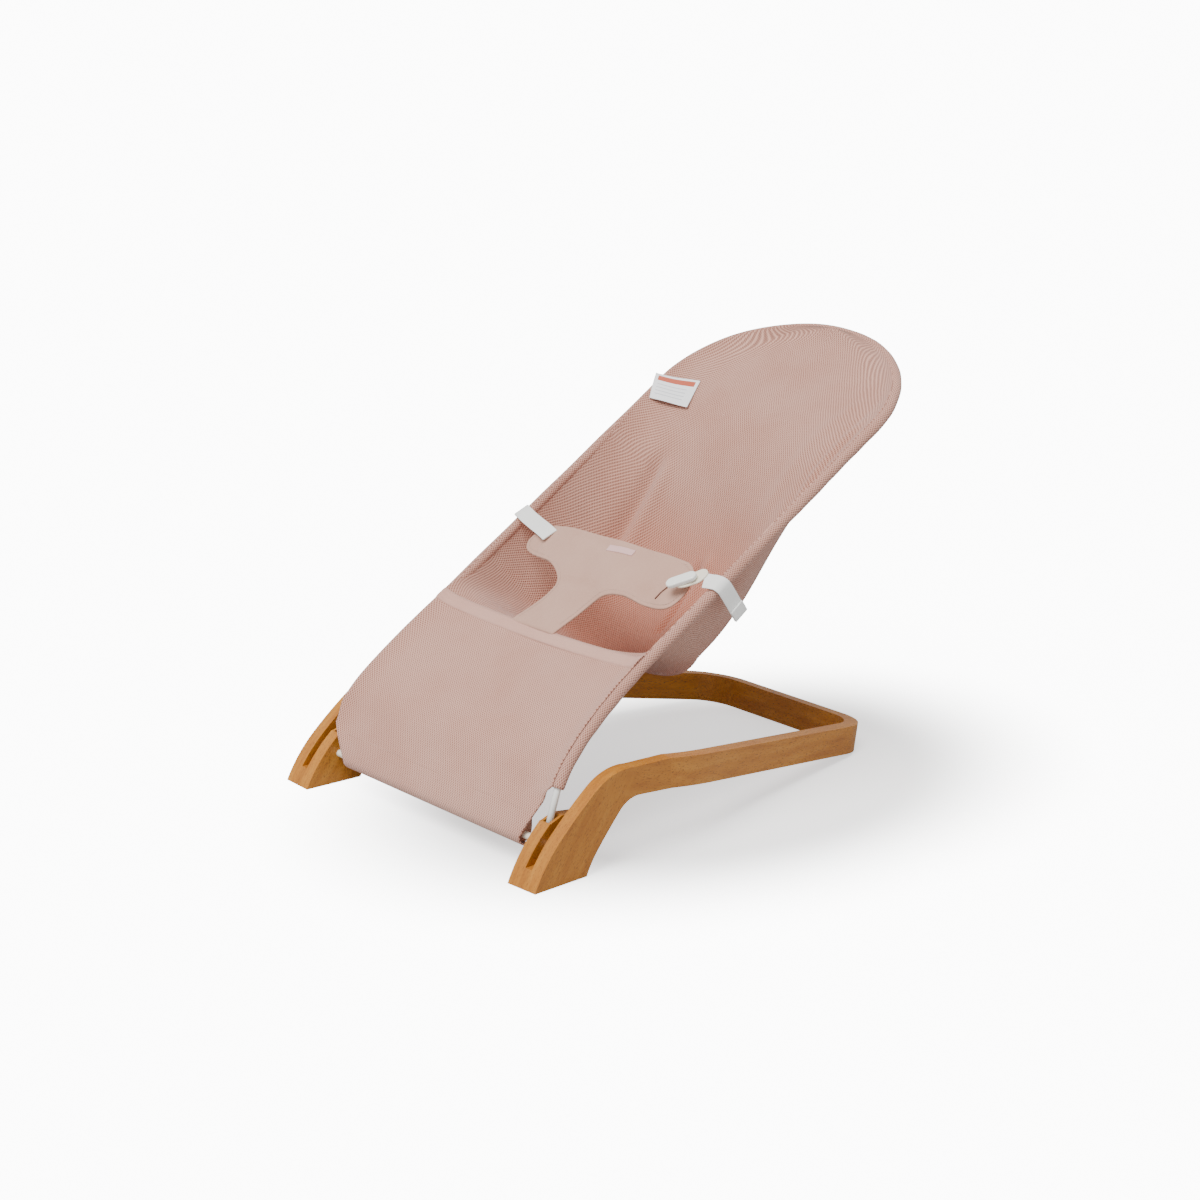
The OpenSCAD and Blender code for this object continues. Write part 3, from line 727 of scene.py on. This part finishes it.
hem_uv = np.stack(np.broadcast_arrays((hem_x * hem_hw * 0.001)[:, None], hem_uv_v[None]), -1)
hem_uv = np.concatenate([hem_uv[:1], hem_uv, hem_uv[-1:]])
piece("cover_bottom_hem",
      surface("cover_bottom_hem", closed_ends(hem_grid), hem_uv, around=True),
      openwork("pink_openwork_double", hole=0.2, depth=0.0004), "seat", "mesh", "hem_sleeve")

# ---------- cross seam ----------
# A flat knitted tape lies over the seam of seat and lower panel from sleeve to sleeve,
# held by two rows of stitches.

tape_hw = seam_hw - 1.0


def tape_height(u, v):
    """The tape sags with the seam, bends down at its long edges and rolls over the sleeves."""
    return (2.3 - 10 * (1 - u * u) * smooth(1 + v / 150) + roll_over((1 - np.abs(u)) * tape_hw)
            - 0.9 * np.abs((v + 6) / 8.5) ** 4)


tu, tv = np.meshgrid(np.linspace(-1, 1, 121), np.linspace(-14.5, 2.5, 9))
tape_grid = on_seat(tu * tape_hw, tv, tape_height(tu, tv) + np.maximum(-tv * 0.02, 0))
seam_tape = piece("cover_seam_tape",
                  surface("cover_seam_tape", tape_grid, cloth_uv(tape_grid), outward=False),
                  openwork("pink_tape_knit", pitch=0.0016, hole=0.2, depth=0.0003,
                           yarn=screen(214, 171, 155), deep=screen(203, 155, 138)),
                  "seat", "mesh", "seam_tape")
thicken(seam_tape, 0.0009)


def stitch_row(name, line, off, pitch, long, radius, material, slot):
    """A row of short thread bumps laid along a line, each a six-sided spindle."""
    run = lengths(line)
    at = np.arange(pitch, run[-1] - pitch, pitch)
    centre = np.stack([np.interp(at, run, line[:, k]) for k in range(3)], -1)
    ahead = np.stack([np.interp(at + 0.3, run, line[:, k]) for k in range(3)], -1) - centre
    ahead /= np.linalg.norm(ahead, axis=1, keepdims=True)
    up = np.stack([np.interp(at, run, off[:, k]) for k in range(3)], -1)
    up /= np.linalg.norm(up, axis=1, keepdims=True)
    side = np.cross(ahead, up)
    stations = np.array([-0.5, -0.35, 0, 0.35, 0.5])
    size = np.array([0.25, 0.85, 1.0, 0.85, 0.25])
    turn = 2 * math.pi * np.arange(6) / 6
    dip = -0.8 * radius * (2 * np.abs(stations)) ** 3
    ring = (np.cos(turn)[None, None, :, None] * side[:, None, None]
            + np.sin(turn)[None, None, :, None] * up[:, None, None])
    ring = ring * size[None, :, None, None] * radius
    pts = (centre[:, None, None] + stations[None, :, None, None] * long * ahead[:, None, None]
           + dip[None, :, None, None] * up[:, None, None] + ring).reshape(-1, 3)
    k = np.arange(6)
    after = (k + 1) % 6
    quads = [np.stack([j * 6 + k, j * 6 + after, j * 6 + 6 + after, j * 6 + 6 + k], -1)
             for j in range(4)]
    quads += [np.array([[0, 5, 4, 3], [0, 3, 2, 1], [24, 25, 26, 27], [24, 27, 28, 29]])]
    faces = (np.concatenate(quads)[None] + 30 * np.arange(len(at))[:, None, None]).reshape(-1, 4)
    mesh = bpy.data.meshes.new(name)
    mesh.from_pydata(((pts + [0, toes_y, sole_z]) * 0.001).tolist(), [], faces.tolist())
    work = bmesh.new()
    work.from_mesh(mesh)
    bmesh.ops.recalc_face_normals(work, faces=work.faces)
    work.to_mesh(mesh)
    work.free()
    mesh.polygons.foreach_set("use_smooth", np.ones(len(mesh.polygons), bool))
    return piece(name, mesh, material, "seat", slot)


def thread(name, colour):
    """Twisted thread: a fine spiral of light and dark."""
    f = Finish(name)
    x, y, z = f.place()
    twist = f.noise(f.vector((x + y) * 2600, z * 2600, x * 900), 1.0, 1)
    return f.done(f.colour(twist, colour, tuple(0.72 * v for v in colour)), 0.7,
                  f.bump(twist, 0.0001, 0.5))


pink_thread = thread("pink_sewing_thread", screen(210, 172, 156))
# the rows stop short of the sleeves; the hem's follows one row of points on the lower panel
stitched_share = 0.97
for k, v in enumerate((-12.3, 0.4)):
    row_u = np.linspace(-stitched_share, stitched_share, 120)
    line = on_seat(row_u * tape_hw, v, tape_height(row_u, v) + 0.62)
    stitch_row(f"seam_stitches_{k + 1}", line, np.broadcast_to(off_seat, line.shape), 3.0, 2.2,
               0.3, pink_thread, "mesh")
hem_u = np.linspace(-stitched_share, stitched_share, 111)
hem_row = np.full_like(hem_u, 24, int)
hem_line = lower_cloth(hem_u, hem_row) + 0.95 * panel_off[hem_row]
stitch_row("hem_stitches", hem_line, panel_off[hem_row], 3.0, 2.2, 0.28, pink_thread, "mesh")

# ---------- harness ----------
# One T of plain-woven cotton over thin wadding: the stem is sewn into the cross seam
# and the bar lies across the child's waist. Its edge is turned in and topstitched, and
# the toggle's buttonhole is a bound thread line whose dark colour is painted shade of the slit.


def through(points, count):
    """A smooth line through the points, evenly spaced along its length."""
    p = np.array(points, float)
    p = np.concatenate([2 * p[:1] - p[1:2], p, 2 * p[-1:] - p[-2:-1]])
    t = np.linspace(0, len(p) - 3 - 1e-9, 400)
    k = t.astype(int)
    f = (t - k)[:, None]
    a, b, c, d = p[k], p[k + 1], p[k + 2], p[k + 3]
    line = 0.5 * (2 * b + (c - a) * f + (2 * a - 5 * b + 4 * c - d) * f ** 2
                  + (3 * b - a - 3 * c + d) * f ** 3)
    run = lengths(line)
    at = np.linspace(0, run[-1], count)
    return np.stack([np.interp(at, run, line[:, j]) for j in range(line.shape[1])], -1)


harness_rows = 90
left_edge = through([(-58, -2), (-44, 22), (-33, 42), (-30, 56), (-42, 68), (-64, 78),
                     (-92, 81), (-112, 86), (-119, 97), (-113, 112), (-100, 121), (-92, 123)],
                    harness_rows)
right_edge = through([(12, -2), (24, 20), (34, 40), (48, 56), (72, 63), (100, 63), (124, 66),
                      (136, 74), (141, 90), (139, 108), (130, 121), (119, 126)], harness_rows)
ring_turn = np.linspace(0, 2 * math.pi, 97)[:-1]
lateral = np.sin(ring_turn)
upper = np.cos(ring_turn)


def harness_height(x, s):
    """The harness rises from the seam to the waist, and swells a little between its edges."""
    rise = -7.5 + 0.185 * s
    arch_over = 2.6 * np.exp(-((x - 12) / 78) ** 2) * smooth((s - 30) / 60)
    droop = -4.5 * smooth((np.abs(x - 10) - 70) / 60)
    waves = (0.55 * np.sin(x / 13 + s / 21) + 0.45 * np.sin(x / 29 - s / 12 + 1)
             + ridge(x, s, -30, 58, 40, 62, 6, -1.3) + ridge(x, s, -60, 116, 30, 112, 5, -0.9))
    lift = (5.5 * np.exp(-((x - 45) / 50) ** 2 - ((s - 72) / 30) ** 2)
            + ridge(x, s, -97, 78, -101, 126, 4, -1.8)
            + ridge(x, s, 96, 60, 118, 128, 9, -1.6))
    return rise + arch_over + droop + lift + waves * smooth(s / 30)


share = np.sign(lateral) * np.abs(lateral) ** 0.8
rows_t = np.linspace(0, 1, harness_rows)
puff = np.clip(np.minimum(rows_t / 0.02, (1 - rows_t) / 0.035), 0, 1) ** 0.5
mid = (left_edge + right_edge) / 2
reach = (right_edge - left_edge) / 2
hx = mid[:, 0, None] + reach[:, 0, None] * share[None]
hs = mid[:, 1, None] + reach[:, 1, None] * share[None]
half_thick = 2.0 * np.sign(upper) * np.abs(upper) ** 0.35
hh = harness_height(hx, hs) + (0.15 + puff[:, None] * half_thick[None])
harness_grid = on_seat(hx, hs, hh)
harness_uv = np.stack([np.concatenate([v, v[:, :1]], 1) for v in (hx, hs)], -1) * 0.001


def plain_weave(name, pitch, light, dark, rib=0.5, depth=0.0002, sheen=0.2):
    """Plain weave: over-and-under threads as crossed waves, with uneven slubs."""
    f = Finish(name)
    u, v = f.cloth_place()
    wave_u = f.node("Math", {"operation": "SINE"}, {0: u * (2 * math.pi / pitch)})
    wave_v = f.node("Math", {"operation": "SINE"}, {0: v * (2 * math.pi / pitch)})
    knot = wave_u * wave_v * 0.5 + 0.5
    slub = f.noise(f.vector(u * 260, v * 1500), 1.0, 2, 0.6)
    slow = f.noise(f.vector(u * 20, v * 20), 1.0, 3, 0.6)
    mix = knot * rib + slub * 0.35 + slow * 0.35
    base = f.colour(mix.ease(0.25, 0.95), light, dark)
    return f.done(base, 0.9, f.bump(knot + slub * 0.6, depth, 0.7), Sheen_Weight=sheen,
                  Sheen_Roughness=0.5, Specular_IOR_Level=0.12)


harness_cloth = plain_weave("pink_plain_weave", 0.0012, screen(203, 166, 149),
                            screen(178, 138, 120))
harness = piece("harness_t", surface("harness_t", harness_grid, harness_uv, around=True),
                harness_cloth, "seat", "weave", "harness")

# the topstitching runs along both edges of the waist piece, above the stem
stem_steps, stitch_in = 4, 4.2
outline = np.concatenate([left_edge[stem_steps:], right_edge[stem_steps:][::-1]])
inward = np.stack([-np.gradient(outline[:, 1]), np.gradient(outline[:, 0])], -1)
inward /= np.linalg.norm(inward, axis=1, keepdims=True)
inset = outline - inward * stitch_in
stitch_path = on_seat(*inset.T, harness_height(*inset.T) + 2.15)
stitch_row("harness_topstitching", stitch_path, np.broadcast_to(off_seat, stitch_path.shape), 3.2,
           2.3, 0.28, thread("harness_sewing_thread", screen(208, 178, 163)), "weave")

# the buttonhole binding is real; its dark colour is painted shade of the slit
hole_path = through([(112, 74), (114, 84), (119, 94), (127, 102), (136, 109)], 24)
hole_rings = closed_ends(tube(on_seat(*hole_path.T, harness_height(*hole_path.T) + 2.1), 0.8, 8))
piece("toggle_buttonhole", surface("toggle_buttonhole", hole_rings, around=True),
      thread("buttonhole_painted_shade", screen(96, 54, 40)), "seat", "weave")

# ---------- straps ----------
# White polyester webbing joins the waist piece to the edge sleeve at both sides. Each
# strap passes over the sleeve and down its outside.

webbing_w, webbing_t = 19.0, 1.6


def ribbon(line, width_dir, width, thick):
    """Flat webbing along a line: rings of a rounded flat section, square to it."""
    t = directions(line)
    w = width_dir - (width_dir * t).sum(1, keepdims=True) * t
    w /= np.linalg.norm(w, axis=1, keepdims=True)
    n = np.cross(t, w)
    turn = 2 * math.pi * np.arange(28) / 28
    cw = np.sign(np.cos(turn)) * np.abs(np.cos(turn)) ** 0.28
    cn = np.sign(np.sin(turn)) * np.abs(np.sin(turn)) ** 0.6
    return (line[:, None] + cw[None, :, None] * w[:, None] * width / 2
            + cn[None, :, None] * n[:, None] * thick / 2)


def webbing_finish(name):
    """Webbing: a rib across each millimetre, a fine warp, and a selvedge on each edge."""
    f = Finish(name)
    u, v = f.cloth_place()
    rib, warp = [f.node("Math", {"operation": "SINE"}, {0: way * (2 * math.pi / pitch)}) * 0.5 + 0.5
                 for way, pitch in ((v, 0.0011), (u, 0.0007))]
    fuzz = f.noise(f.vector(u * 700, v * 700), 1.0, 2)
    shade = rib * 0.45 + warp * 0.2 + fuzz * 0.35
    base = f.colour(shade, screen(226, 228, 226), screen(250, 250, 249))
    return f.done(base, 0.55, f.bump(shade, 0.00016, 0.6), Sheen_Weight=0.2, Sheen_Roughness=0.4,
                  Specular_IOR_Level=0.3)


white_webbing = webbing_finish("white_polyester_webbing")


def strap_piece(name, points, count, aslant, width, thick, *nodes):
    """A strap whose line passes through the points (x, s, h), its width along the seat."""
    line = on_seat(*through(points, count).T)
    wide = np.broadcast_to(up_seat + np.array([aslant, 0, 0]), line.shape)
    rings = ribbon(line, wide, width, thick)
    round_u = lengths(np.concatenate([rings[0], rings[0, :1]])) * 0.001
    uv = np.stack(np.broadcast_arrays(round_u[None], (lengths(line) * 0.001)[:, None]), -1)
    uv = np.concatenate([uv[:1], uv, uv[-1:]])
    piece(name, surface(name, closed_ends(rings), uv, around=True), white_webbing, "seat",
          "webbing", *nodes)


wrap = sleeve_r + 1.1 + webbing_t / 2
edge_x = seam_hw + flare * 120
left_turns = [(-edge_x - wrap * math.sin(a), 133 + 1.5 * k, wrap * math.cos(a))
              for k, a in enumerate(np.radians([10, 35, 60, 88]))]
strap_piece(
    "webbing_left",
    [(-88, 107, 14.6), (-101, 111, 15.2), (-124, 118, 13.0), (-146, 125, 10.8), (-160, 130, 9.9)]
    + left_turns + [(-edge_x - wrap + 0.4, 138, -10), (-edge_x - wrap + 2.5, 138, -20),
                    (-edge_x - wrap + 6, 137, -29)],
    90, 0.28, webbing_w, webbing_t, "strap_left")
right_turns = [(edge_x + wrap * math.sin(a), 115 + 0.6 * k, wrap * math.cos(a))
               for k, a in enumerate(np.radians([8, 34, 60, 88]))]
strap_piece(
    "webbing_right",
    [(157, 110, 12.6), (161, 112, 11.2), (165, 113.5, 10.0)] + right_turns
    + [(edge_x + wrap + 0.2, 117.5, -10), (edge_x + wrap - 0.3, 118.5, -24),
       (edge_x + wrap - 1, 119.5, -40)],
    90, 0.0, webbing_w, webbing_t, "strap_right")

# the end of the right strap is folded back on itself
strap_piece(
    "webbing_right_tab",
    [(edge_x + wrap + 1.7, 118.3, -26), (edge_x + wrap + 1.4, 119, -33),
     (edge_x + wrap + 0.8, 119.5, -40)],
    14, 0.0, webbing_w + 0.3, 1.9)

# ---------- moulded end and toggle ----------
# The right strap ends in a moulding with a stud. The toggle bar turns on the stud and
# slips through the buttonhole; all three are glossy injection-moulded plastic.

gloss = Finish("white_moulded_plastic")
gx, gy, gz = gloss.place()
flow = gloss.noise(gloss.vector(gx * 110, gy * 110, gz * 110), 1.0, 2)
white_plastic = gloss.done(gloss.colour(flow, screen(236, 238, 232), screen(248, 248, 245)),
                           0.2 + flow * 0.12, gloss.bump(flow, 0.0001, 0.25), Coat_Weight=0.25,
                           Coat_Roughness=0.1)
cream = Finish("cream_moulded_plastic")
cx, cy, cz = cream.place()
flow = cream.noise(cream.vector(cx * 140, cy * 140, cz * 140), 1.0, 2)
cream_plastic = cream.done(cream.colour(flow, screen(232, 222, 200), screen(243, 236, 220)),
                           0.3 + flow * 0.12, cream.bump(flow, 0.0001, 0.25))


def moulded(outline, low, high, rounding):
    """A flat moulding: its outline is drawn in towards the middle by a quarter round at
    the top and the bottom, and both faces close at the middle."""
    mid_point = np.broadcast_to(outline.mean(0), outline.shape)
    inward_dir = mid_point - outline
    inward_dir /= np.linalg.norm(inward_dir, axis=1, keepdims=True)
    a = np.linspace(0, math.pi / 2, 7)
    sides = [outline + inward_dir * draw for draw in rounding * (1 - np.sin(a))]
    drop = rounding - rounding * np.cos(a)
    heights = np.concatenate([[low], low + drop, (high - drop)[::-1], [high]])
    return np.stack([mid_point, *sides, *sides[::-1], mid_point]), heights


def closed_curve(points, count):
    """A smooth closed line through the points."""
    p = np.array(points, float)
    line = through(np.concatenate([p[-2:], p, p[:2]]), 6 * count)
    run, middle = lengths(line), len(line) // 2
    start = np.argmin(np.linalg.norm(line[:middle] - p[0], axis=1))
    end = middle + np.argmin(np.linalg.norm(line[middle:] - p[0], axis=1))
    at = np.linspace(run[start], run[end], count + 1)[:-1]
    return np.stack([np.interp(at, run, line[:, j]) for j in range(2)], -1)


stud_x, stud_s = 139.0, 97.0
# the moulding lies just above the CAD harness, a flat piece that tilts up from the seam
crotch_l, waist_h, harness_t = 70, 56, 3
harness_lift, harness_tilt = -6.6, math.radians(10.4)
harness_top = (harness_lift + (crotch_l + waist_h * 0.6) * math.sin(harness_tilt)
               + harness_t * math.cos(harness_tilt))
end_base = harness_top + 0.6
from_stud = [(-7, -3), (0, -8), (7, -5), (13, 3), (17, 10), (17, 22), (10, 25), (3, 16), (-5, 6)]
end_outline = closed_curve(np.array(from_stud) + [stud_x, stud_s], 72)
flat_rings, flat_heights = moulded(end_outline, end_base, end_base + 2.0, 0.8)
bent_down = 2.4 * smooth((flat_rings[..., 0] - stud_x - 4) / 14)
end_grid = on_seat(flat_rings[..., 0], flat_rings[..., 1], flat_heights[:, None] - bent_down)
piece("strap_end_moulding", surface("strap_end_moulding", end_grid, around=True), cream_plastic,
      "seat", "toggle_plastic", "strap_end_right")
coat(white_plastic, "toggle_stud")

bar_l, bar_w, bar_t = 34.0, 13.5, 5.0
angle = 2 * math.pi * np.arange(96) / 96
bar_long = (bar_l - bar_w) / 2
cap_x = np.sign(np.cos(angle)) * bar_long + bar_w / 2 * np.cos(angle)
cap_y = bar_w / 2 * np.sin(angle) * (1 - 0.12 * np.exp(-(cap_x / 5) ** 2))
turn_c, turn_s = math.cos(math.radians(45)), math.sin(math.radians(45))
bar_outline = np.stack([stud_x + cap_x * turn_c - cap_y * turn_s,
                        stud_s + cap_x * turn_s + cap_y * turn_c], -1)
bar_low = end_base + 2.2
bar_rings, bar_heights = moulded(bar_outline, bar_low, bar_low + bar_t, 1.7)
bar_grid = on_seat(bar_rings[..., 0], bar_rings[..., 1], bar_heights[:, None])
piece("toggle", surface("toggle", bar_grid, around=True), white_plastic, "toggle",
      "toggle_plastic", "toggle_bar")

# ---------- labels ----------
# A white satin label is sewn by its edge beside the left sleeve, with a printed orange
# stripe and ruled lines; a small pink woven tab is sewn flat on the harness.

label_u, label_v = np.meshgrid(np.linspace(0, 1, 41), np.linspace(0, 1, 31))
top_left, top_right = np.array([-174.0, 377, 10.5]), np.array([-121.0, 393, -4.2])
bottom_right, bottom_left = np.array([-106.0, 351, -4.6]), np.array([-158.5, 344, 2.6])
right_share, top_share = label_u[..., None], label_v[..., None]
label_low = (1 - right_share) * bottom_left + right_share * bottom_right
label_high = (1 - right_share) * top_left + right_share * top_right
label_grid = (1 - top_share) * label_low + top_share * label_high
label_grid[..., 2] += 0.8 * np.sin(label_u * 5 + label_v * 3) + 1.2 * (1 - label_u) ** 4
label_points = on_seat(*np.moveaxis(label_grid, -1, 0))
label_uv = np.stack([label_u * 0.056, label_v * 0.036], -1)
satin = Finish("white_satin_label")
lu, lv = satin.cloth_place()
stripe = (lv.ease(0.0265, 0.027) * lv.ease(0.0335, 0.033)
          * lu.ease(0.004, 0.0045) * lu.ease(0.052, 0.0515))
in_line = (lv / 0.0046).fract()
lines = (in_line.ease(0.55, 0.62) * in_line.ease(0.85, 0.78) * lv.ease(0.004, 0.005)
         * lv.ease(0.0235, 0.0225) * lu.ease(0.005, 0.006) * lu.ease(0.045, 0.044))
sheen_line = satin.noise(satin.vector(lu * 200, lv * 3000), 1.0, 2)
label_base = satin.colour(sheen_line * 0.3, screen(243, 244, 246), screen(222, 224, 230))
label_base = satin.colour(lines * 0.5, label_base, screen(140, 142, 158))
label_base = satin.colour(stripe * 0.95, label_base, screen(186, 66, 0))
white_satin = satin.done(label_base, 0.45, satin.bump(sheen_line, 0.00006, 0.4))
care = piece("white_label", surface("white_label", label_points, label_uv, outward=False),
             white_satin, "seat", "label", "care_label")
thicken(care, 0.0005)

tab_u, tab_v = np.meshgrid(np.linspace(0, 1, 41), np.linspace(0, 1, 9))
tab_x = 7 + 41 * tab_u
tab_s = 107.5 + 8 * tab_v + 1.5 * tab_u
tab_points = on_seat(tab_x, tab_s, harness_height(tab_x, tab_s) + 2.55)
tab_uv = np.stack([tab_u * 0.041, tab_v * 0.008], -1)
pink_tab = piece("pink_tab", surface("pink_tab", tab_points, tab_uv, outward=False),
                 plain_weave("pink_satin_tab", 0.0006, screen(222, 184, 180),
                             screen(206, 162, 158), depth=0.00006, sheen=0.4),
                 "seat", "label_pink", "harness_label")
thicken(pink_tab, 0.0006)
